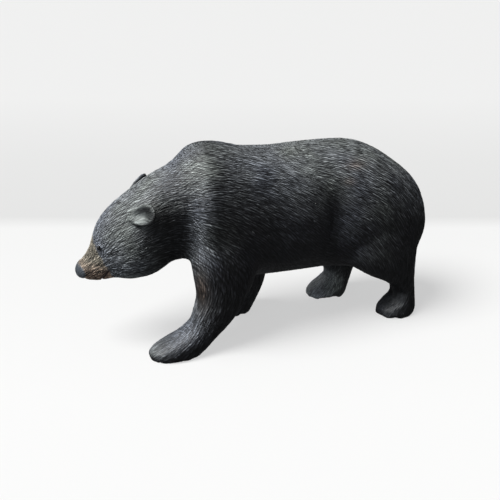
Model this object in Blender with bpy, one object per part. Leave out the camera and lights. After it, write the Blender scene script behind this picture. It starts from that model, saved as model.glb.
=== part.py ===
"""A walking black bear carved from one block of wood, standing on four flat soles.

X runs along the body with the head towards -X, Y runs across it and Z is up. The right side of the
bear is at +Y. The soles lie in the plane Z = 0, and the origin is under the middle of the bear.
"""

import math

import bmesh
import bpy
import numpy as np
from mathutils import Matrix, Vector

# Driving dimensions, in metres
BODY_LENGTH = 0.387        # nose to rump along the body, which every mass and the pose follow
EAR_LENGTH = 0.0190        # from the middle of an ear to its rim, front to back
EAR_BREADTH = 0.0113       # the same across it
EAR_THICKNESS = 0.0042     # how far the back of an ear bulges behind its rim
EAR_CUP = 0.0068           # depth of the hollow in an ear
NOSE_LENGTH = 0.0068       # nose pad, half its length along the muzzle
NOSE_WIDTH = 0.0085        # nose pad, half its width
NOSE_HEIGHT = 0.0084       # nose pad, half its height
EYE_RADIUS = 0.0024        # bead of an eye
MOUTH_WIDTH = 0.0024       # reach of the cut between the lips, to each side of it
MOUTH_DEPTH = 0.0026       # depth of that cut

# How finely the block is worked
COARSE_GRAIN = 0.0024      # spacing of the surface while the masses are rounded into each other
FINE_GRAIN = 0.0013        # spacing of the surface while the face is cut
ROUNDING = 9               # rounds of smoothing where two masses meet
SOFTENING = 2              # rounds of smoothing over the finished face
FACES = 10100              # triangles kept before the paws are sawn level
HEAD_CARE = 0.93           # how strongly the head is thinned out, against 1 for the body
LEVEL = 0.0004             # what lies this near the ground is part of a sole
SECTION_POINTS = 48        # points round a section of a mass
STATION_STEPS = 5          # sections put between two given ones

WOOD_COLOUR = (0.020, 0.022, 0.025, 1)
WOOD_ROUGHNESS = 0.6

# The masses and the pose are shares of the body's length. One share is a 387th of it, so the
# numbers below read as millimetres on a bear 387 mm long.
SHARE = BODY_LENGTH / 387

# Trunk, from the rump to the chest: x, top, bottom, half width, and how much more of its width
# lies low down
TRUNK = (
    (186.5, 114, 88, 14, 0.00),
    (183.5, 135, 70, 29, 0.00),
    (173, 155, 60, 42, 0.02),
    (154, 171, 54, 50, 0.04),
    (130, 188, 53, 54, 0.06),
    (104, 200, 55, 54, 0.08),
    (76, 204, 58, 51, 0.10),
    (44, 205, 61, 53, 0.12),
    (8, 204, 63, 56, 0.12),
    (-26, 208, 65, 55, 0.08),
    (-50, 215, 68, 54, 0.02),
    (-68, 216, 76, 53, -0.04),
    (-81, 211, 86, 49, -0.06),
    (-91, 200, 98, 38, -0.04),
    (-97, 184, 112, 22, 0.00),
)

# Neck and head: top of the section (x, z), bottom of the section (x, z), half width
HEAD = (
    ((-40, 206), (-40, 98), 40),
    ((-64, 216), (-72, 95), 41),
    ((-84, 209), (-91, 94), 38),
    ((-101, 196), (-104, 92), 36),
    ((-115, 188.5), (-115, 85), 39),
    ((-129, 180), (-126, 80), 41.5),
    ((-141, 171), (-137, 78), 41),
    ((-153, 162), (-148, 77), 38),
    ((-164, 153.5), (-157, 78), 33),
    ((-173, 144), (-163, 78), 28),
    ((-179, 135), (-167, 77), 23),
    ((-182.5, 126), (-171, 75), 19),
    ((-185.5, 116.5), (-176, 74), 16),
    ((-189, 108), (-182, 74.5), 14),
    ((-196, 98.5), (-191, 76), 12.5),
    ((-201, 93), (-198, 81), 9),
    ((-202.5, 89), (-202, 85), 4),
)
HEAD_SQUARENESS = 2.25           # 2 gives round sections of the head, more gives squarer ones
HEAD_TURN = math.radians(12)     # the head looks a little to the bear's right
HEAD_PIVOT = -88                 # where along the body it turns
HEAD_TURN_START = -73            # where along the neck the turn begins
HEAD_TURN_RUN = 30               # length of the neck over which it comes in
HEAD_BEHIND = -100               # where along the body the head ends

# Each leg by height: z, front x, rear x, half width, and how far its middle lies from the middle
# of the bear. The leg grows up into the trunk.
FRONT_LEFT = (
    (-8, -132, -90, 16, 35),
    (0, -141, -81, 20, 35),
    (8, -142, -74, 21, 35),
    (15, -131, -67, 20, 35),
    (22, -114, -59, 19, 35),
    (32, -100, -49, 19, 35),
    (46, -93, -39, 20, 35),
    (62, -88, -30, 22, 34),
    (84, -91, -21, 25, 32),
    (110, -92, -15, 27, 28),
    (140, -84, -15, 27, 23),
    (168, -74, -22, 24, 18),
    (190, -62, -34, 14, 12),
)
FRONT_RIGHT = (
    (-8, -38, -6, 16, 35),
    (0, -46, -4, 20, 35),
    (8, -48, 1, 21, 35),
    (16, -44, 6, 20, 35),
    (28, -41, 13, 19, 35),
    (42, -44, 17, 20, 35),
    (60, -54, 18, 22, 34),
    (84, -72, 12, 25, 32),
    (110, -84, 3, 27, 28),
    (140, -80, -6, 27, 23),
    (168, -72, -18, 24, 18),
    (190, -60, -32, 14, 12),
)
HIND_LEFT = (
    (-8, 134, 163, 16, 35),
    (0, 125, 171, 21, 35),
    (8, 127, 173, 22, 35),
    (16, 139, 171, 20, 35),
    (26, 144, 170, 18, 35),
    (36, 139, 168, 19, 35),
    (46, 125, 168, 22, 34),
    (57, 103, 169, 26, 33),
    (76, 84, 170, 29, 31),
    (100, 80, 171, 30, 27),
    (128, 86, 166, 28, 22),
    (148, 98, 154, 22, 16),
    (162, 114, 142, 12, 12),
)
HIND_RIGHT = (
    (-8, 78, 110, 16, 35),
    (0, 69, 118, 21, 35),
    (8, 71, 121, 22, 35),
    (15, 83, 123, 20, 35),
    (24, 94, 125, 18, 35),
    (36, 90, 129, 20, 35),
    (48, 82, 138, 22, 34),
    (60, 76, 150, 26, 33),
    (80, 74, 162, 29, 31),
    (102, 76, 168, 30, 27),
    (128, 86, 164, 28, 22),
    (148, 98, 154, 22, 16),
    (162, 114, 142, 12, 12),
)

# Hollows pressed into the block and swellings raised on it: the place (x, y, z), how far the
# mark reaches each way, and its depth, which is negative for a swelling
MARKS = (
    ((63, -58, 118), (13, 40, 50), 7.5),
    ((63, 58, 118), (13, 40, 50), 7.5),
    ((106, -56, 112), (24, 40, 36), -2.0),
    ((106, 56, 112), (24, 40, 36), -2.0),
    ((-4, -56, 125), (15, 40, 42), 4.5),
    ((-4, 56, 125), (15, 40, 42), 4.5),
    ((-98, -40, 128), (11, 30, 32), 6.0),
    ((-98, 40, 128), (11, 30, 32), 6.0),
)

LEFT_EAR_PLACE = (-132, -41, 159.5)        # before the head turns, as the places below
LEFT_EAR_FACING = (-0.70, -0.62, 0.35)
RIGHT_EAR_PLACE = (-134.5, 42.5, 159)
RIGHT_EAR_FACING = (-0.78, 0.52, 0.35)
EAR_ROLL = math.radians(20)      # its rear end is lifted this much
EAR_TAPER = 0.24                 # how much narrower it is in front, and wider behind
EAR_HOLLOW_SHARE = 0.86          # how far out the hollow of an ear goes, 1 being its edge
EAR_HOLLOW_SLOPE = 1.5           # 1 gives a round hollow, more gives a wider and softer rim
NOSE_PLACE = (-196, 0, 86.5)              # nose pad
EYE_PLACE = (-176.5, 22.0, 120.0)         # right eye, with the left one opposite
MOUTH = ((-168, 22, 92), (-172, 16, 85), (-175, 9, 78))   # right cut, from its corner to the chin


def smooth_stations(rows):
    """The given rows with more between them, on a curve through them all."""
    rows = np.array(rows, float)
    padded = np.vstack((2 * rows[0] - rows[1], rows, 2 * rows[-1] - rows[-2]))
    result = []
    for before, start, end, after in zip(padded, padded[1:], padded[2:], padded[3:]):
        for step in range(STATION_STEPS):
            t = step / STATION_STEPS
            slope = end - before
            bend = 2 * before - 5 * start + 4 * end - after
            twist = 3 * start - before - 3 * end + after
            result.append(start + (slope * t + bend * t**2 + twist * t**3) / 2)
    result.append(rows[-1])
    return result


def as_object(name, bm):
    bmesh.ops.recalc_face_normals(bm, faces=bm.faces)
    mesh = bpy.data.meshes.new(name)
    bm.to_mesh(mesh)
    bm.free()
    obj = bpy.data.objects.new(name, mesh)
    bpy.context.scene.collection.objects.link(obj)
    return obj


def skin(name, sections):
    """A closed skin over a row of sections, each a list of as many points."""
    bm = bmesh.new()
    rings = [[bm.verts.new(point * SHARE) for point in section] for section in sections]
    for ring, following in zip(rings, rings[1:]):
        for i in range(SECTION_POINTS):
            j = (i + 1) % SECTION_POINTS
            bm.faces.new((ring[i], ring[j], following[j], following[i]))
    bm.faces.new(reversed(rings[0]))
    bm.faces.new(rings[-1])
    return as_object(name, bm)


def round_angles():
    return [2 * math.pi * i / SECTION_POINTS for i in range(SECTION_POINTS)]


def trunk():
    sections = []
    for x, top, bottom, half_width, low in smooth_stations(TRUNK):
        middle, half_height = (top + bottom) / 2, (top - bottom) / 2
        section = []
        for angle in round_angles():
            wide = half_width * (1 - low * math.sin(angle)) * math.cos(angle)
            section.append(Vector((x, wide, middle + half_height * math.sin(angle))))
        sections.append(section)
    return skin("trunk", sections)


def turned_with_head(point):
    """A point drawn on a head that faces straight ahead, in shares, after the head turns."""
    pivot = Vector((HEAD_PIVOT, 0, 0))
    past_start = (HEAD_TURN_START - point[0]) / HEAD_TURN_RUN
    turn = HEAD_TURN * min(1, max(0, past_start))
    return Matrix.Rotation(-turn, 3, "Z") @ (Vector(point) - pivot) + pivot


def squared(share):
    """A sine or cosine that fills a round section out towards a square one."""
    return math.copysign(abs(share) ** (2 / HEAD_SQUARENESS), share)


def head():
    sections = []
    rows = [(*top, *bottom, half_width) for top, bottom, half_width in HEAD]
    for top_x, top_z, bottom_x, bottom_z, half_width in smooth_stations(rows):
        top, bottom = Vector((top_x, 0, top_z)), Vector((bottom_x, 0, bottom_z))
        middle, up = (top + bottom) / 2, (top - bottom) / 2
        section = []
        for angle in round_angles():
            across = Vector((0, half_width * squared(math.cos(angle)), 0))
            section.append(turned_with_head(middle + up * squared(math.sin(angle)) + across))
        sections.append(section)
    return skin("head", sections)


def leg(name, stations, side):
    sections = []
    for z, front, rear, half_width, spread in smooth_stations(stations):
        middle, half_length = (front + rear) / 2, (rear - front) / 2
        section = []
        for angle in round_angles():
            across = side * spread + half_width * math.sin(angle)
            section.append(Vector((middle + half_length * math.cos(angle), across, z)))
        sections.append(section)
    return skin(name, sections)


def ball(name, place, radii, turn=Matrix.Identity(3)):
    """An ellipsoid at a place on the head, in metres, turned with it."""
    bm = bmesh.new()
    bmesh.ops.create_uvsphere(bm, u_segments=32, v_segments=20, radius=1)
    centre = turned_with_head(place) * SHARE
    head_turn = Matrix.Rotation(-HEAD_TURN, 3, "Z")
    for vert in bm.verts:
        vert.co = centre + head_turn @ turn @ Vector([r * c for r, c in zip(radii, vert.co)])
    return as_object(name, bm)


def ear(name, place, facing, side):
    """A cupped ear: a bowl with a round rim, open outwards and forwards, its front in the fur."""
    bm = bmesh.new()
    bmesh.ops.create_uvsphere(bm, u_segments=48, v_segments=32, radius=1)
    roll = Matrix.Rotation(-side * EAR_ROLL, 3, "Z")
    facing_turn = Vector(facing).to_track_quat("Z", "Y").to_matrix()
    turn = Matrix.Rotation(-HEAD_TURN, 3, "Z") @ facing_turn @ roll
    centre = turned_with_head(place) * SHARE
    for vert in bm.verts:
        along, across, out = vert.co
        from_middle = min(1, math.hypot(along, across) / EAR_HOLLOW_SHARE)
        out *= EAR_THICKNESS
        if vert.co.z > 0:
            out -= EAR_CUP * (1 - from_middle**2) ** EAR_HOLLOW_SLOPE
        taper = 1 - EAR_TAPER * side * along
        local = Vector((along * EAR_LENGTH, across * EAR_BREADTH * taper, out))
        vert.co = centre + turn @ local
    return as_object(name, bm)


def fused(pieces, grain, rounds):
    """The pieces worked into one skin of even grain, with their joins rounded."""
    bpy.ops.object.select_all(action="DESELECT")
    for piece in pieces:
        piece.select_set(True)
    whole = pieces[0]
    bpy.context.view_layer.objects.active = whole
    bpy.ops.object.join()
    remesh = whole.modifiers.new("one skin", "REMESH")
    remesh.mode = "VOXEL"
    remesh.voxel_size = grain
    bpy.ops.object.modifier_apply(modifier=remesh.name)
    smooth = whole.modifiers.new("rounding", "SMOOTH")
    smooth.factor = 0.5
    smooth.iterations = int(rounds)
    bpy.ops.object.modifier_apply(modifier=smooth.name)
    return whole


def press_marks(obj):
    """The hollows and swellings of the body, each pressed along the surface's own normal."""
    mesh = obj.data
    places = np.array([v.co for v in mesh.vertices]) / SHARE
    normals = np.array([v.normal for v in mesh.vertices])
    depth = np.zeros(len(places))
    for place, reach, mark_depth in MARKS:
        away = ((places - place) / reach) ** 2
        depth += mark_depth * np.exp(-away.sum(axis=1))
    places -= normals * depth[:, None]
    mesh.vertices.foreach_set("co", (places * SHARE).ravel())
    mesh.update()


def cut_mouth(obj):
    """The line of the lips, cut into both cheeks from the corner down to the chin."""
    mesh = obj.data
    places = np.array([v.co for v in mesh.vertices])
    normals = np.array([v.normal for v in mesh.vertices])
    for side in (-1, 1):
        line = [np.array(turned_with_head((x, side * y, z)) * SHARE) for x, y, z in MOUTH]
        away = np.full(len(places), np.inf)
        for start, end in zip(line, line[1:]):
            along = end - start
            share = np.clip((places - start) @ along / (along @ along), 0, 1)
            from_line = np.linalg.norm(places - start - share[:, None] * along, axis=1)
            away = np.minimum(away, from_line)
        places -= normals * (MOUTH_DEPTH * np.exp(-((away / MOUTH_WIDTH) ** 2)))[:, None]
    mesh.vertices.foreach_set("co", places.ravel())
    mesh.update()


def thin_out(obj, faces):
    """Fewer and larger triangles, with the small ones kept where the surface bends."""
    triangles = sum(len(polygon.vertices) - 2 for polygon in obj.data.polygons)
    strength = obj.vertex_groups.new(name="strength")
    for vert in obj.data.vertices:
        on_head = vert.co.x < HEAD_BEHIND * SHARE
        strength.add([vert.index], HEAD_CARE if on_head else 1, "REPLACE")
    decimate = obj.modifiers.new("fewer faces", "DECIMATE")
    decimate.ratio = faces / triangles
    decimate.vertex_group = strength.name
    bpy.ops.object.modifier_apply(modifier=decimate.name)
    obj.vertex_groups.clear()


def flatten_soles(obj):
    """Saws the paws off level with the ground, so that the bear stands flat."""
    bm = bmesh.new()
    bm.from_mesh(obj.data)
    everything = bm.verts[:] + bm.edges[:] + bm.faces[:]
    bmesh.ops.bisect_plane(
        bm, geom=everything, dist=LEVEL / 2, plane_co=(0, 0, 0), plane_no=(0, 0, 1), clear_inner=True
    )
    for vert in bm.verts:
        if vert.co.z < LEVEL:
            vert.co.z = 0
    rim = [edge for edge in bm.edges if edge.is_boundary]
    bmesh.ops.holes_fill(bm, edges=rim, sides=0)
    bmesh.ops.dissolve_degenerate(bm, dist=LEVEL / 2, edges=bm.edges[:])
    bmesh.ops.triangulate(bm, faces=bm.faces[:])
    bm.to_mesh(obj.data)
    bm.free()


def centre_over_origin(obj):
    corners = np.array([v.co for v in obj.data.vertices])
    middle = (corners.min(axis=0) + corners.max(axis=0)) / 2
    obj.data.transform(Matrix.Translation((-middle[0], -middle[1], 0)))


def paint(obj):
    wood = bpy.data.materials.new("painted wood")
    wood.use_nodes = True
    shader = wood.node_tree.nodes["Principled BSDF"]
    shader.inputs["Base Color"].default_value = WOOD_COLOUR
    shader.inputs["Roughness"].default_value = WOOD_ROUGHNESS
    shader.inputs["Metallic"].default_value = 0
    obj.data.materials.clear()
    obj.data.materials.append(wood)
    for polygon in obj.data.polygons:
        polygon.use_smooth = True
        polygon.material_index = 0


def carve_bear():
    masses = [trunk(), head()]
    masses.append(leg("front left leg", FRONT_LEFT, -1))
    masses.append(leg("front right leg", FRONT_RIGHT, 1))
    masses.append(leg("hind left leg", HIND_LEFT, -1))
    masses.append(leg("hind right leg", HIND_RIGHT, 1))
    block = fused(masses, COARSE_GRAIN, ROUNDING)
    press_marks(block)

    features = [ear("left ear", LEFT_EAR_PLACE, LEFT_EAR_FACING, -1)]
    features.append(ear("right ear", RIGHT_EAR_PLACE, RIGHT_EAR_FACING, 1))
    features.append(ball("nose", NOSE_PLACE, (NOSE_LENGTH, NOSE_WIDTH, NOSE_HEIGHT)))
    for side in (-1, 1):
        x, y, z = EYE_PLACE
        features.append(ball("eye", (x, side * y, z), (EYE_RADIUS,) * 3))
    bear = fused([block] + features, FINE_GRAIN, SOFTENING)
    cut_mouth(bear)

    thin_out(bear, FACES)
    flatten_soles(bear)
    centre_over_origin(bear)
    paint(bear)
    bear.name = "carved_bear"
    bear.data.name = "carved_bear"


for leftover in list(bpy.data.objects):
    bpy.data.objects.remove(leftover)
carve_bear()
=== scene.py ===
"""A walking black bear, carved from one block of wood and painted, on a pale floor."""

import math

import bpy
import numpy as np
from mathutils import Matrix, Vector


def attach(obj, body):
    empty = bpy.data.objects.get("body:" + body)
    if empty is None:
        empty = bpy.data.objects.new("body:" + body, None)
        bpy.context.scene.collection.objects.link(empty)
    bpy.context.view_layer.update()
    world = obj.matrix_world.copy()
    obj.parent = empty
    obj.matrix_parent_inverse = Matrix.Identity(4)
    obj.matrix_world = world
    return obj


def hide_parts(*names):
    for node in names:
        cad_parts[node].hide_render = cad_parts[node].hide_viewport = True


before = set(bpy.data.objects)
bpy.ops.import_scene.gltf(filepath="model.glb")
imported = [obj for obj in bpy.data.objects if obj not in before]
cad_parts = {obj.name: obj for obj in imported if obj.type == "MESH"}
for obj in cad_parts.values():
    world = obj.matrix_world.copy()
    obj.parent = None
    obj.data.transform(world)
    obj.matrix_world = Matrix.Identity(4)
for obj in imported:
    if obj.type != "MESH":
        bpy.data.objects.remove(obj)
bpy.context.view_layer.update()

# The carved body: trunk, head, ears, legs and paws, hewn from one block of wood. Its form is the
# solid's, rounded off, and the fur is cut into it afterwards, groove beside groove, with a small
# V-tool. It is painted black, rubbed back to grey on the ridges, with a tan muzzle. Light and shade
# are painted into it as well: lighter on top and towards the head, darker low down and in a few
# places such as behind the near ear.
GRAIN = 0.00055                  # spacing of the surface that the grooves are cut into, in metres
GROOVE_DEPTH = 1.10              # all lengths of the carving are in millimetres
SCRATCH_DEPTH = 0.35             # depth of the finer strokes that go over the wide ridges
GROOVE_HALF_WIDTH = 1.05
GROOVE_SPACING = 1.65            # the least distance between two grooves side by side
GROOVE_LENGTH = 17.0
GROOVE_SWERVE = math.radians(6)  # how far a groove strays from the lie of the fur
REACH_THROUGH = 2.0              # how far above or below its own surface a groove still cuts
MIDLINE = -1.8                   # where the middle of the trunk lies across the bear
HEAD_PIVOT = -81.1               # where along the body the head turns
HEAD_TURN = math.radians(12)     # it looks a little to the bear's right
HEAD_TURN_RUN = 30               # length of the neck over which that turn comes in
TRIANGLES = 195000
SOFTENING_ROUNDS = 8             # how often the surface is softened before the fur is cut
SHOULDER_EDGE = -66              # where along the body the edge down the shoulder lies
SHOULDER_RISE = 2.4              # how far that edge stands out
SHOULDER_FADE = (22, 7)          # the lengths over which it dies away in front and behind
SHOULDER_HEIGHT = (160, 42)      # the middle of the edge above the ground, and its reach
EARS_FINER = 0.35                # how much smaller the tool marks are at these places
FLANKS_FINER = 0.25
PAWS_FINER = 0.30
SPACE_ALONG = 0.65               # cell of the search for room, in lengths of a groove

# The lie of the fur in the side view: x, z, which side of the bear (0 for both), and the angle of
# the strokes above the line to the rear
LIE = (
    (-190, 92, 0, 30), (-184, 108, 0, 52), (-178, 84, 0, 14), (-174, 122, 0, 58),
    (-160, 148, 0, 52), (-168, 110, 0, 30), (-165, 90, 0, 8), (-150, 138, 0, 34),
    (-145, 98, 0, 4), (-135, 82, 0, -6), (-140, 118, 0, 14), (-140, 168, 0, 42),
    (-118, 183, 0, 36), (-122, 150, 0, 26), (-115, 105, 0, -6), (-104, 160, 0, 14),
    (-98, 132, 0, -10), (-94, 197, 0, 30), (-92, 108, 0, -40), (-86, 172, 0, 12),
    (-66, 212, 0, 6), (-62, 190, 0, -6), (-40, 164, 0, -26), (-42, 134, 0, -44),
    (-72, 140, 0, -34), (-72, 104, 0, -72), (-8, 206, 0, -2), (0, 195, 0, -14),
    (30, 186, 0, -28), (12, 160, 0, -34), (-14, 118, 0, -48), (38, 110, 0, -42),
    (12, 82, 0, -58), (50, 72, 0, -34), (60, 204, 0, 2), (88, 168, 0, -28),
    (62, 150, 0, -40), (96, 206, 0, -6), (122, 175, 0, -34), (90, 145, 0, -34),
    (90, 107, 0, -44), (158, 145, 0, -52), (176, 120, 0, -74), (186, 100, 0, -88),
    (133, 80, 0, -62), (140, 110, 0, -54), (-40, 84, 0, -78),
    (-78, 84, -1, -84), (-78, 58, -1, -112), (-50, 62, -1, -104), (-93, 34, -1, -122),
    (-70, 30, -1, -124), (-112, 16, -1, -146), (-132, 8, -1, -166), (-85, 10, -1, -128),
    (-40, 60, 1, -88), (-18, 60, 1, -88), (-16, 34, 1, -98), (-30, 10, 1, -140),
    (150, 50, -1, -92), (160, 30, -1, -96), (140, 14, -1, -146), (162, 8, -1, -120),
    (112, 55, 1, -92), (108, 30, 1, -98), (90, 14, 1, -146), (112, 8, 1, -120),
)
LIE_REACH = 15.0                 # how far one of them is felt

# Places on the head are given as if it looked straight ahead, with y from its own middle
EAR_PLACES = ((-125, -41, 159.5), (-127.6, 42.5, 159))
MUZZLE_TOP = (-175.4, 122.7)     # x and z where the tan of the muzzle begins on the bridge
MUZZLE_SLANT = 0.46              # how much further back it begins for each millimetre down
MUZZLE_RAGGED = 3.0              # how far single strokes run over that line
MUZZLE_FADE = 1.2
MUZZLE_END = -140                # no tan behind this
MUZZLE_LOW = 102                 # the tan turns redder below this height
MUZZLE_LOW_FADE = 16
NOSE_PLACE = (-193.5, 86.5)      # x and z of the nose pad
NOSE_REACH = (8.2, 9.2)          # half its length and height
NOSE_RISE = 0.7                  # how far the nose pad stands out
NOSTRIL = (-195.0, 4.2, 85.5)
NOSTRIL_REACH = (3.0, 1.9, 1.7)
NOSTRIL_DEPTH = 2.0
LIPS_DEPTH = 1.5
LIPS_BREADTH = 1.1
LIPS_DARK = 1.7                  # half the width of the dark line between them
FACE_END = -150                  # the lips are looked for only in front of this
EYE_PLACE = (-169.6, 22.0, 120.0)
# x and z down the line of the lips
MOUTH = ((-160.5, 92.5), (-165.1, 85), (-168.1, 78), (-171, 72))

# The middle of each paw: near front, far front, near hind and far hind
PAWS = ((-112, -37, 8), (-24, 33, 8), (150, -37, 8), (92, 33, 8))

# Where the paint is made lighter than elsewhere, or darker where the amount is negative: partly
# rubbed-back wear, partly painted light and shade, as on the jaw and the far hind paw, which are
# painted lit, and the patch behind the near ear, the near hind paw and the lower rump, which are
# painted shade. The columns: the place, how far the patch reaches each way, and the amount
WEAR_AND_PAINTED_SHADING = (
    ((80, 0, 208), (80, 70, 40), 0.24),
    # painted light: the jaw lighter, as if lit from low in front
    ((-150, -20, 90), (48, 60, 34), 0.66),
    ((-66, 0, 215), (40, 60, 34), -0.27),
    ((-100, 0, 185), (30, 60, 24), -0.12),
    ((-125, -41, 160), (12, 14, 14), -0.40),
    ((-127, 42, 160), (12, 14, 14), -0.40),
    # painted shadow behind the near ear
    ((-110, -42, 148), (10, 14, 10), -0.35),
    ((-74, -45, 140), (16, 30, 60), 0.22),
    ((-60, -50, 75), (28, 40, 30), -0.45),
    ((10, -50, 115), (50, 40, 50), -0.10),
    ((-112, -37, 8), (34, 30, 20), -0.35),
    # painted light: the far hind paw lighter, as if lit
    ((90, 32, 10), (28, 26, 26), 0.80),
    ((150, -35, 5), (32, 30, 34), -0.65),
    ((160, 0, 75), (50, 70, 50), -0.42),
)
# Where the wood shows brown through the paint: the place, the reach and how much of it shows
BROWN = (
    ((97, -33, 183), (11, 14, 5), 0.55), ((86, -41, 169), (7, 12, 4), 0.40),
    ((-79, -45, 74), (6, 12, 24), 0.55), ((88, 34, 182), (9, 14, 5), 0.50),
    ((-76, 46, 80), (6, 12, 22), 0.50),
)


def off_head(places):
    """Places on the bear, where they would be if its head looked straight ahead."""
    x, y = places[:, 0] - HEAD_PIVOT, places[:, 1] - MIDLINE
    turn = HEAD_TURN * np.clip(0.5 - x / HEAD_TURN_RUN, 0, 1)
    cos, sin = np.cos(turn), np.sin(turn)
    return np.column_stack((x * cos - y * sin + HEAD_PIVOT, x * sin + y * cos, places[:, 2]))


def mirrored(places):
    """The same places, with those on the left of the head brought over to its right."""
    return np.column_stack((places[:, 0], np.abs(places[:, 1]), places[:, 2]))


def nose_share(straight):
    """1 on the nose pad and 0 off it, for places on the head."""
    seen = straight[:, [0, 2]]
    away = np.linalg.norm((seen - np.array(NOSE_PLACE)) / np.array(NOSE_REACH), axis=1)
    return np.clip((1 - away) * 8 + 0.5, 0, 1)


def mouth_distance(straight):
    """How far each place on the head is from the line between the lips, seen from the side."""
    seen = straight[:, [0, 2]]
    away = np.full(len(seen), np.inf)
    for start, end in zip(np.array(MOUTH, float), np.array(MOUTH[1:], float)):
        along = end - start
        share = np.clip((seen - start) @ along / (along @ along), 0, 1)
        away = np.minimum(away, np.linalg.norm(seen - start - share[:, None] * along, axis=1))
    return away


def nearness(places, middle, reach):
    """1 at the middle, fading to 0 beyond the reach, which may differ along X, Y and Z."""
    return np.exp(-(((places - np.array(middle)) / reach) ** 2).sum(axis=1))


def places_of(mesh):
    flat = np.empty(len(mesh.vertices) * 3)
    mesh.vertices.foreach_get("co", flat)
    return flat.reshape(-1, 3) * 1000


def normals_of(mesh):
    flat = np.empty(len(mesh.vertices) * 3)
    mesh.vertices.foreach_get("normal", flat)
    return flat.reshape(-1, 3)


def unit(vectors):
    return vectors / np.maximum(np.linalg.norm(vectors, axis=1), 1e-9)[:, None]


def lie_of_fur(places, normals):
    """The direction of the fur at each place, lying in the surface."""
    total = np.zeros((len(places), 3))
    for x, z, side, angle in LIE:
        away = ((places[:, 0] - x) ** 2 + (places[:, 2] - z) ** 2) / (2 * LIE_REACH**2)
        weight = np.exp(-away) + 1e-12
        if side:
            weight = weight * (places[:, 1] * side > -4)
        angle = math.radians(angle)
        total += weight[:, None] * np.array((math.cos(angle), 0, math.sin(angle)))
    total -= normals * (total * normals).sum(axis=1)[:, None]
    return unit(total)


def groove_scale(places):
    """How large the tool marks are: finer on the flanks, the ears and the paws."""
    straight = off_head(places)
    scale = np.ones(len(places))
    for ear in EAR_PLACES:
        scale -= EARS_FINER * nearness(straight, ear, (14, 14, 14))
    scale -= FLANKS_FINER * nearness(places, (60, 0, 120), (80, 200, 70))
    for paw in PAWS:
        scale -= PAWS_FINER * nearness(places, paw, (26, 26, 16))
    return scale


def groove_strength(places, normals):
    """How deep the tool goes: not into the soles, the nose and the eyes, and little in the ears."""
    straight = off_head(places)
    strength = np.ones(len(places))
    for ear in EAR_PLACES:
        strength *= 1 - 0.65 * nearness(straight, ear, (15, 13, 15))
    strength *= 1 - nose_share(straight)
    strength *= 1 - nearness(mirrored(straight), EYE_PLACE, (3.4, 3.4, 3.4))
    strength *= 1 - nearness(mouth_distance(straight)[:, None], (0,), 1.5)
    on_ground = (places[:, 2] < 0.6) & (normals[:, 2] < -0.7)
    strength[on_ground] = 0
    return strength


NET = 4.0                        # mesh width of the net that the run of the fur is worked out on
SPINE_REACH = 18.0               # beyond this the strokes are told apart by the side view alone
FLANK_CLOSER = 1.3               # how much closer together they lie on the flank
NET_X, NET_Z = np.arange(-204, 205, NET), np.arange(-8, 229, NET)


def net_slopes(values):
    """The slopes of values on the net, at the middle of each of its meshes."""
    rise, lean = values[1:, 1:] - values[:-1, :-1], values[1:, :-1] - values[:-1, 1:]
    return (rise + lean) / (2 * NET), (rise - lean) / (2 * NET)


def net_spread(slope_x, slope_z):
    """The transpose of net_slopes."""
    result = np.zeros((len(NET_X), len(NET_Z)))
    rise, lean = (slope_x + slope_z) / (2 * NET), (slope_x - slope_z) / (2 * NET)
    result[1:, 1:] += rise
    result[:-1, :-1] -= rise
    result[1:, :-1] += lean
    result[:-1, 1:] -= lean
    return result


def run_on_net(lie_x, lie_z, along, across, strictness):
    """Values on the net that rise by these amounts along the fur and across it."""
    turn = np.array(((lie_x, lie_z), (-lie_z, lie_x)))
    weights = np.array(strictness)[:, None, None]

    def misfit(values):
        slope_x, slope_z = net_slopes(values)
        return weights * (turn[:, 0] * slope_x + turn[:, 1] * slope_z)

    def gathered(parts):
        parts = weights * parts
        return net_spread((turn[:, 0] * parts).sum(axis=0), (turn[:, 1] * parts).sum(axis=0))

    wanted = weights * np.array((along, across))
    values = np.zeros((len(NET_X), len(NET_Z)))
    left = gathered(wanted)
    step = left.copy()
    size = (left * left).sum()
    small_enough = size * 1e-12
    while size > small_enough:
        moved = gathered(misfit(step))
        stride = size / (step * moved).sum()
        values += stride * step
        left -= stride * moved
        size, last = (left * left).sum(), size
        step = left + size / last * step
    return values


def on_net(values, places):
    """Values of the net, at places between its points."""
    i = np.clip((places[:, 0] - NET_X[0]) / NET, 0, len(NET_X) - 1.001)
    j = np.clip((places[:, 2] - NET_Z[0]) / NET, 0, len(NET_Z) - 1.001)
    left, low = i.astype(int), j.astype(int)
    u, v = i - left, j - low
    lower = values[left, low] * (1 - u) + values[left + 1, low] * u
    upper = values[left, low + 1] * (1 - u) + values[left + 1, low + 1] * u
    return lower * (1 - v) + upper * v


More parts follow.
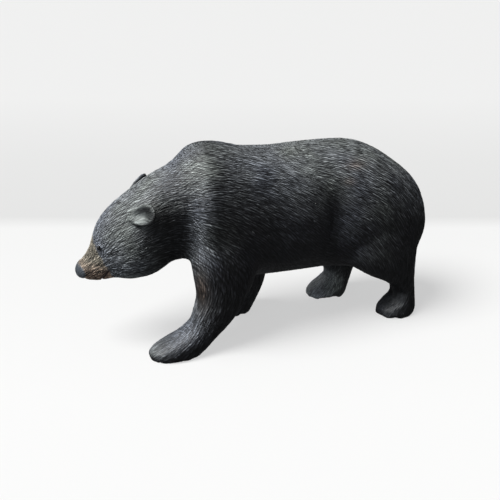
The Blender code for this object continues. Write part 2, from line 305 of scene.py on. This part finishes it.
def run_of_fur(places):
    """How far across the fur and how far along it each place lies, and how far from the spine."""
    middles_x, middles_z = np.meshgrid(NET_X[:-1] + NET / 2, NET_Z[:-1] + NET / 2, indexing="ij")
    result = np.zeros((len(places), 3))
    right = np.clip((places[:, 1] - MIDLINE) / 12 + 0.5, 0, 1)
    from_spine = SPINE_REACH * np.tanh(np.abs(off_head(places)[:, 1]) / SPINE_REACH)
    flank = np.exp(-(((middles_x - 75) / 95) ** 4) - ((middles_z - 120) / 75) ** 4)
    closeness = 1 + FLANK_CLOSER * flank
    for side, share in ((-1, 1 - right), (1, right)):
        row = np.zeros_like(middles_x.ravel())
        points = np.column_stack((middles_x.ravel(), row + 40 * side, middles_z.ravel()))
        flow = lie_of_fur(points, np.column_stack((row, row + side, row)))
        lie_x = flow[:, 0].reshape(middles_x.shape)
        lie_z = flow[:, 2].reshape(middles_x.shape)
        across = run_on_net(lie_x, lie_z, 0 * closeness, closeness, (1.0, 0.45))
        along = run_on_net(lie_x, lie_z, 1 + 0 * closeness, 0 * closeness, (1.0, 0.5))
        result[:, 0] += share * on_net(across - across.mean(), places)
        result[:, 1] += share * on_net(along - along.mean(), places)
    result[:, 0] -= from_spine
    on_paw = np.clip((40 - places[:, 2]) / 25, 0, 1)
    result[:, 2] = from_spine + on_paw * np.abs(places[:, 1] - MIDLINE)
    return result


def neighbourhoods(places, cell):
    """For each place, through a lookup that remembers, all the places in the cells round it."""
    keys = np.floor(places / cell).astype(int)
    order = np.lexsort(keys.T)
    splits = np.flatnonzero(np.any(np.diff(keys[order], axis=0), axis=1)) + 1
    members = {tuple(keys[group[0]]): group for group in np.split(order, splits)}
    steps = [(i, j, k) for i in (-1, 0, 1) for j in (-1, 0, 1) for k in (-1, 0, 1)]
    around = {}

    def near(start):
        key = tuple(keys[start])
        if key not in around:
            cells = [members.get((key[0] + i, key[1] + j, key[2] + k)) for i, j, k in steps]
            around[key] = np.concatenate([group for group in cells if group is not None])
        return around[key]

    return near


def carve_grooves(places, normals, chance, fineness, deepest, depth, owner):
    """Grooves cut one after another along the fur, until there is no room between them."""
    cell = GROOVE_LENGTH * fineness * SPACE_ALONG
    near_to = neighbourhoods(places, cell)
    taken = np.zeros(len(places), bool)
    for start in chance.permutation(len(places)):
        if taken[start]:
            continue
        near = near_to(start)
        size = scale[start] * fineness
        swerve = chance.normal(0, GROOVE_SWERVE)
        ahead = lie[start] * math.cos(swerve)
        ahead = ahead + np.cross(normals[start], lie[start]) * math.sin(swerve)
        across = np.cross(normals[start], ahead)
        offset = places[near] - places[start]
        along = offset @ ahead
        aside = offset @ across + chance.normal(0, 0.006) * along**2
        facing = (normals[near] @ normals[start] > 0.2) & (
            np.abs(offset @ normals[start]) < REACH_THROUGH
        )
        half_length = min(GROOVE_LENGTH * size * chance.uniform(0.6, 1.3) / 2, cell)
        entry = np.sqrt(np.clip(1 - (along / half_length) ** 2, 0, 1))
        wall = np.abs(aside) / (GROOVE_HALF_WIDTH * size)
        bite = deepest * scale[start] * chance.uniform(0.7, 1.1)
        cut = np.where(facing, bite * (entry - wall), 0)
        deeper = cut > depth[near]
        depth[near[deeper]] = cut[deeper]
        owner[near[deeper]] = chance.random()
        beside = facing & (np.abs(aside) < GROOVE_SPACING * size) & (entry > 0.4)
        taken[near[beside]] = True


def put_attribute(mesh, name, values):
    layer = mesh.attributes.new(name, "FLOAT", "POINT")
    layer.data.foreach_set("value", values)


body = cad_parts["carved_bear"].copy()
body.data = body.data.copy()
body.name = body.data.name = "carved_body"
bpy.context.scene.collection.objects.link(body)
bpy.ops.object.select_all(action="DESELECT")
body.select_set(True)
bpy.context.view_layer.objects.active = body
bpy.ops.object.mode_set(mode="EDIT")
bpy.ops.mesh.select_all(action="SELECT")
bpy.ops.mesh.remove_doubles(threshold=0.00001)
bpy.ops.object.mode_set(mode="OBJECT")
rounded = body.modifiers.new("rounded off", "SUBSURF")
rounded.levels = rounded.render_levels = 2
bpy.ops.object.modifier_apply(modifier=rounded.name)
even = body.modifiers.new("even surface", "REMESH")
even.mode = "VOXEL"
even.voxel_size = GRAIN
bpy.ops.object.modifier_apply(modifier=even.name)
soft = body.modifiers.new("softened", "SMOOTH")
soft.factor = 0.5
soft.iterations = SOFTENING_ROUNDS
bpy.ops.object.modifier_apply(modifier=soft.name)

chance = np.random.default_rng(7)
places = places_of(body.data)
normals = normals_of(body.data)
beyond = places[:, 0] - SHOULDER_EDGE
shoulder = np.exp(-((beyond / np.where(beyond < 0, *SHOULDER_FADE)) ** 2))
level = np.exp(-(((places[:, 2] - SHOULDER_HEIGHT[0]) / SHOULDER_HEIGHT[1]) ** 2))
shoulder *= level * np.clip(np.abs(normals[:, 1]) * 1.6, 0, 1)
places += normals * (SHOULDER_RISE * shoulder)[:, None]
lie = lie_of_fur(places, normals)
scale = groove_scale(places)
depth, owner = np.zeros(len(places)), np.zeros(len(places))
carve_grooves(places, normals, chance, 1.0, GROOVE_DEPTH, depth, owner)
carve_grooves(places, normals, chance, 0.6, SCRATCH_DEPTH, depth, owner)
depth *= groove_strength(places, normals)
straight = off_head(places)
nose = nose_share(straight)
nostrils = nearness(mirrored(straight), NOSTRIL, NOSTRIL_REACH) * nose
lip_cut = np.exp(-((mouth_distance(straight) / LIPS_BREADTH) ** 2)) * (straight[:, 0] < FACE_END)
sunk = depth - NOSE_RISE * nose + NOSTRIL_DEPTH * nostrils + LIPS_DEPTH * lip_cut
places -= normals * sunk[:, None]
places[:, 2] = np.maximum(places[:, 2], 0)
body.data.vertices.foreach_set("co", (places / 1000).ravel())
put_attribute(body.data, "groove", depth / GROOVE_DEPTH)
put_attribute(body.data, "stroke", owner)
body.data.update()

evened = body.modifiers.new("edges eased", "SMOOTH")
evened.factor = 0.25
evened.iterations = 1
bpy.ops.object.modifier_apply(modifier=evened.name)
thinned = body.modifiers.new("thinned out", "DECIMATE")
thinned.ratio = TRIANGLES / (2 * len(body.data.polygons))
bpy.ops.object.modifier_apply(modifier=thinned.name)
bpy.ops.object.shade_smooth()

places = places_of(body.data)
normals = normals_of(body.data)
straight = off_head(places)
stroke = np.empty(len(places))
body.data.attributes["stroke"].data.foreach_get("value", stroke)
muzzle_edge = MUZZLE_TOP[0] + MUZZLE_SLANT * (MUZZLE_TOP[1] - straight[:, 2])
ragged_edge = muzzle_edge + MUZZLE_RAGGED * (stroke - 0.5)
muzzle = np.clip((ragged_edge - straight[:, 0]) / MUZZLE_FADE + 0.5, 0, 1)
muzzle *= straight[:, 0] < MUZZLE_END
lips = np.clip(LIPS_DARK - mouth_distance(straight), 0, 1) * (straight[:, 0] < FACE_END)
# Paint wears on top and in front, less underneath. This also stands in for the light: the tops
# and the head end are painted lighter and the underside darker, which is painted light and shade.
worn_and_painted_shading = 0.75 * np.clip((normals[:, 2] + 0.35) / 1.1, 0, 1) + 0.35 * np.clip(-normals[:, 0], 0, 1)
for place, reach, amount in WEAR_AND_PAINTED_SHADING:
    worn_and_painted_shading += amount * nearness(places, place, reach)
brown = np.zeros(len(places))
for place, reach, share in BROWN:
    brown = np.maximum(brown, share * nearness(places, place, reach))
put_attribute(body.data, "muzzle", muzzle)
put_attribute(body.data, "low", np.clip((MUZZLE_LOW - straight[:, 2]) / MUZZLE_LOW_FADE, 0, 1))
put_attribute(body.data, "nose", nose_share(straight))
put_attribute(body.data, "lips", lips)
put_attribute(body.data, "worn_and_painted_shading", np.clip(worn_and_painted_shading, 0, 1.4))
put_attribute(body.data, "brown", brown)
# The rows of streaks are left out of the ears, the paws and the front and back of the legs
calm = sum(nearness(straight, ear, (15, 13, 13)) for ear in EAR_PLACES)
calm += np.clip((32 - places[:, 2]) / 14, 0, 1)
across_leg = np.clip((np.abs(normals[:, 0]) - 0.55) / 0.25, 0, 1)
calm += across_leg * np.clip((100 - places[:, 2]) / 20, 0, 1)
put_attribute(body.data, "calm", np.clip(0.9 * calm, 0, 0.9))
run = body.data.attributes.new("run of the fur", "FLOAT_VECTOR", "POINT")
run.data.foreach_set("vector", run_of_fur(places).ravel())

# All colours are given as linear light
FUR_COLOURS = (                  # from black to grey: paint rubbed thin, and painted light on top and towards the head
    (0.20, (0.010, 0.010, 0.012)), (0.45, (0.032, 0.033, 0.037)), (0.75, (0.120, 0.128, 0.134)),
    (1.00, (0.330, 0.350, 0.360)),
)
FUR_HUES = ((0.36, (0.96, 0.98, 1.10)), (0.50, (1.0, 1.0, 1.02)), (0.64, (1.01, 1.03, 0.95)))
BROWN_WOOD = (0.200, 0.135, 0.090, 1)
TAN_ABOVE = (0.480, 0.430, 0.340, 1)
TAN_BELOW = (0.730, 0.510, 0.370, 1)
SPECK_COLOUR = (0.45, 0.46, 0.44, 1)
LIP_LINE = (0.022, 0.010, 0.006, 1)
NOSE_PAD = (0.070, 0.080, 0.092, 1)
EVEN_ROW = (0.80, 0.80, 0.80, 1)   # what stands in for the rows of streaks where they are left out

paint = bpy.data.materials.new("painted_fur")
paint.use_nodes = True
nodes, links = paint.node_tree.nodes, paint.node_tree.links
shader = nodes["Principled BSDF"]
shader.inputs["Specular IOR Level"].default_value = 0.4


def attribute(name):
    node = nodes.new("ShaderNodeAttribute")
    node.attribute_name = name
    return node.outputs["Fac"]


def ramp(source, stops):
    node = nodes.new("ShaderNodeValToRGB")
    elements = node.color_ramp.elements
    elements[0].position, elements[0].color = stops[0][0], (*stops[0][1], 1)
    elements[1].position, elements[1].color = stops[-1][0], (*stops[-1][1], 1)
    for position, colour in stops[1:-1]:
        elements.new(position).color = (*colour, 1)
    links.new(source, node.inputs["Fac"])
    return node.outputs["Color"]


def noise(vector, scale, detail=3.0, roughness=0.55):
    node = nodes.new("ShaderNodeTexNoise")
    node.inputs["Scale"].default_value = scale
    node.inputs["Detail"].default_value = detail
    node.inputs["Roughness"].default_value = roughness
    links.new(vector, node.inputs["Vector"])
    return node.outputs["Fac"]


def stretched(across, along):
    """The run of the fur as coordinates, so many to a millimetre across it and along it."""
    source = nodes.new("ShaderNodeAttribute")
    source.attribute_name = "run of the fur"
    node = nodes.new("ShaderNodeMapping")
    node.inputs["Scale"].default_value = (across, along, across)
    links.new(source.outputs["Vector"], node.inputs["Vector"])
    return node.outputs["Vector"]


def grey_ramp(source, stops):
    return ramp(source, [(position, (value, value, value)) for position, value in stops])


def mixed(factor, first, second, blend="MIX"):
    node = nodes.new("ShaderNodeMix")
    node.data_type = "RGBA"
    node.blend_type = blend
    for value, number in ((factor, 0), (first, 6), (second, 7)):
        socket = node.inputs[number]
        if isinstance(value, bpy.types.NodeSocket):
            links.new(value, socket)
        else:
            socket.default_value = value
    return node.outputs[2]


coordinates = nodes.new("ShaderNodeTexCoord").outputs["Object"]
ridge = grey_ramp(attribute("groove"), ((0.0, 1.0), (0.25, 0.62), (0.6, 0.22), (1.0, 0.08)))
rows = nodes.new("ShaderNodeTexWave")
rows.inputs["Scale"].default_value = 0.145
rows.inputs["Distortion"].default_value = 7.0
rows.inputs["Detail"].default_value = 1.5
rows.inputs["Detail Scale"].default_value = 2.4
links.new(stretched(1.0, 0.16), rows.inputs["Vector"])
hairs = grey_ramp(rows.outputs["Fac"], ((0.04, 0.16), (0.28, 0.74), (0.70, 1.02), (0.97, 1.42)))
fine_hair = noise(stretched(1.3, 0.09), 1.0, 2.0, 0.6)
fine_hairs = grey_ramp(fine_hair, ((0.36, 0.42), (0.50, 0.95), (0.64, 1.60)))
hairs = mixed(attribute("calm"), hairs, EVEN_ROW)
each_stroke = grey_ramp(attribute("stroke"), ((0.0, 0.75), (1.0, 1.15)))

# The fur's colour is picked by the rubbing and by the painted light and shade, with a little noise
rubbed_and_painted_shading = nodes.new("ShaderNodeMath")
rubbed_and_painted_shading.operation = "MULTIPLY_ADD"
links.new(noise(coordinates, 28, 4), rubbed_and_painted_shading.inputs[0])
rubbed_and_painted_shading.inputs[1].default_value = 0.5
links.new(attribute("worn_and_painted_shading"), rubbed_and_painted_shading.inputs[2])
fur = ramp(rubbed_and_painted_shading.outputs["Value"], FUR_COLOURS)
fur = mixed(1.0, fur, ramp(noise(coordinates, 14, 2), FUR_HUES), "MULTIPLY")
fur = mixed(attribute("brown"), fur, BROWN_WOOD)
tan = mixed(attribute("low"), TAN_ABOVE, TAN_BELOW)
colour = mixed(attribute("muzzle"), fur, tan)
for shade in (ridge, hairs, fine_hairs, each_stroke):
    colour = mixed(1.0, colour, shade, "MULTIPLY")

# A few tiny pale specks over the paint
specks = nodes.new("ShaderNodeTexVoronoi")
specks.inputs["Scale"].default_value = 160
links.new(coordinates, specks.inputs["Vector"])
near_speck = grey_ramp(specks.outputs["Distance"], ((0.06, 1.0), (0.10, 0.0)))
few = grey_ramp(specks.outputs["Color"], ((0.90, 0.0), (0.92, 1.0)))
speckled = mixed(1.0, near_speck, few, "MULTIPLY")
colour = mixed(speckled, colour, SPECK_COLOUR)
colour = mixed(attribute("lips"), colour, LIP_LINE)
colour = mixed(attribute("nose"), colour, NOSE_PAD)
links.new(colour, shader.inputs["Base Color"])
gloss = grey_ramp(attribute("nose"), ((0.0, 0.5), (1.0, 0.28)))
links.new(gloss, shader.inputs["Roughness"])
hair_relief = nodes.new("ShaderNodeBump")
hair_relief.inputs["Strength"].default_value = 0.6
hair_relief.inputs["Distance"].default_value = 0.0004
links.new(hairs, hair_relief.inputs["Height"])
grain_relief = nodes.new("ShaderNodeBump")
grain_relief.inputs["Strength"].default_value = 0.35
grain_relief.inputs["Distance"].default_value = 0.0002
links.new(noise(coordinates, 1100, 2), grain_relief.inputs["Height"])
links.new(hair_relief.outputs["Normal"], grain_relief.inputs["Normal"])
links.new(grain_relief.outputs["Normal"], shader.inputs["Normal"])
body.data.materials.clear()
body.data.materials.append(paint)
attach(body, "root")
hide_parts("carved_bear")

# The eyes: two small round beads left standing in the wood of the turned head, and painted a
# glossy black.
EYE_RADIUS = 2.3
eyes = []
for side in (-1, 1):
    x, y, z = EYE_PLACE
    x, y = x - HEAD_PIVOT, side * y
    cos, sin = math.cos(HEAD_TURN), math.sin(HEAD_TURN)
    place = (x * cos + y * sin + HEAD_PIVOT, y * cos - x * sin + MIDLINE, z)
    bpy.ops.object.select_all(action="DESELECT")
    bpy.ops.mesh.primitive_uv_sphere_add(
        segments=32, ring_count=20, radius=EYE_RADIUS / 1000, location=[v / 1000 for v in place]
    )
    bpy.ops.object.transform_apply(location=True, rotation=True, scale=True)
    bpy.ops.object.shade_smooth()
    eyes.append(bpy.context.object)
bpy.ops.object.select_all(action="DESELECT")
for eye in eyes:
    eye.select_set(True)
bpy.context.view_layer.objects.active = eyes[0]
bpy.ops.object.join()
bead = bpy.context.object
bead.name = bead.data.name = "eyes"
glaze = bpy.data.materials.new("eye_paint")
glaze.use_nodes = True
bead_shader = glaze.node_tree.nodes["Principled BSDF"]
bead_shader.inputs["Base Color"].default_value = (0.006, 0.005, 0.005, 1)
bead_shader.inputs["Roughness"].default_value = 0.12
bead.data.materials.append(glaze)
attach(bead, "root")

# The floor: a plain pale board that runs on behind the bear. It glows a little by itself, so that
# it stays pale and even whatever the light, in soft bands that lie square to the camera: brightest
# in front, stepping down to a darker band of painted shade just behind the bear, then paler again.
FLOOR_SIZE = 60
FLOOR_TURN = math.radians(21)     # the bands of glow and painted shade lie square to the camera
FLOOR_REACH = (-0.3, 1.1)         # where they begin and end, in metres
FLOOR_GLOW_AND_SHADE = ((0.10, 1.0), (0.40, 0.92), (0.43, 0.69), (0.60, 0.72), (0.90, 0.83))
bpy.ops.object.select_all(action="DESELECT")
bpy.ops.mesh.primitive_plane_add(size=FLOOR_SIZE, location=(0, 0, 0))
floor = bpy.context.object
floor.name = "floor"
floor_paint = bpy.data.materials.new("pale_floor")
floor_paint.use_nodes = True
floor_shader = floor_paint.node_tree.nodes["Principled BSDF"]
floor_nodes, floor_links = floor_paint.node_tree.nodes, floor_paint.node_tree.links
across_floor = floor_nodes.new("ShaderNodeMapping")
across_floor.inputs["Rotation"].default_value = (0, 0, FLOOR_TURN)
floor_axes = floor_nodes.new("ShaderNodeSeparateXYZ")
glow_and_shade = floor_nodes.new("ShaderNodeValToRGB")
from_near = floor_nodes.new("ShaderNodeMapRange")
from_near.inputs["From Min"].default_value = FLOOR_REACH[0]
from_near.inputs["From Max"].default_value = FLOOR_REACH[1]
for position, value in FLOOR_GLOW_AND_SHADE:
    glow_and_shade.color_ramp.elements.new(position).color = (value, value, value, 1)
glow_and_shade.color_ramp.elements.remove(glow_and_shade.color_ramp.elements[0])
glow_and_shade.color_ramp.elements.remove(glow_and_shade.color_ramp.elements[-1])
floor_coordinates = floor_nodes.new("ShaderNodeTexCoord").outputs["Object"]
floor_links.new(floor_coordinates, across_floor.inputs["Vector"])
floor_links.new(across_floor.outputs["Vector"], floor_axes.inputs["Vector"])
floor_links.new(floor_axes.outputs["Y"], from_near.inputs["Value"])
floor_links.new(from_near.outputs["Result"], glow_and_shade.inputs["Fac"])
floor_links.new(glow_and_shade.outputs["Color"], floor_shader.inputs["Emission Color"])
floor_shader.inputs["Base Color"].default_value = (0.29, 0.29, 0.285, 1)
floor_shader.inputs["Emission Strength"].default_value = 0.575
floor_shader.inputs["Roughness"].default_value = 0.9
floor.data.materials.append(floor_paint)

# The camera stands less than a metre away, in front of the bear's left side and looking down.
CAMERA_TARGET = Vector((-0.0090, -0.0012, 0.0887))
CAMERA_DISTANCE = 0.9186
CAMERA_ROUND = math.radians(21)   # how far it is moved round towards the head
CAMERA_RISE = math.radians(24.9)
camera = bpy.data.objects.new("camera", bpy.data.cameras.new("camera"))
bpy.context.scene.collection.objects.link(camera)
back = Vector((
    -math.sin(CAMERA_ROUND) * math.cos(CAMERA_RISE),
    -math.cos(CAMERA_ROUND) * math.cos(CAMERA_RISE),
    math.sin(CAMERA_RISE),
))
camera.location = CAMERA_TARGET + CAMERA_DISTANCE * back
camera.rotation_euler = (-back).to_track_quat("-Z", "Y").to_euler()
camera.data.sensor_width = 36
camera.data.lens = 61.2
bpy.context.scene.camera = camera

# Light: a broad soft window above the head end, a weak one low in front of the bear, and a dim
# surround. The floor gives no light back, so that the lower half of the bear stays dark.
window = bpy.data.objects.new("window", bpy.data.lights.new("window", "SUN"))
window.data.energy = 4.2
window.data.angle = math.radians(35)
window.rotation_euler = Vector((-0.52, -0.03, 0.85)).to_track_quat("Z", "Y").to_euler()
bpy.context.scene.collection.objects.link(window)
fill = bpy.data.objects.new("fill", bpy.data.lights.new("fill", "SUN"))
fill.data.energy = 0.9
fill.data.angle = math.radians(60)
fill.data.color = (0.86, 0.93, 1.0)
fill.rotation_euler = Vector((-0.85, -0.45, 0.10)).to_track_quat("Z", "Y").to_euler()
bpy.context.scene.collection.objects.link(fill)
world = bpy.data.worlds.new("surround")
world.use_nodes = True
world.node_tree.nodes["Background"].inputs["Color"].default_value = (0.95, 0.97, 1.0, 1)
world.node_tree.nodes["Background"].inputs["Strength"].default_value = 0.14
bpy.context.scene.world = world
floor.visible_diffuse = False
floor.visible_glossy = False
bpy.context.scene.view_settings.view_transform = "Standard"
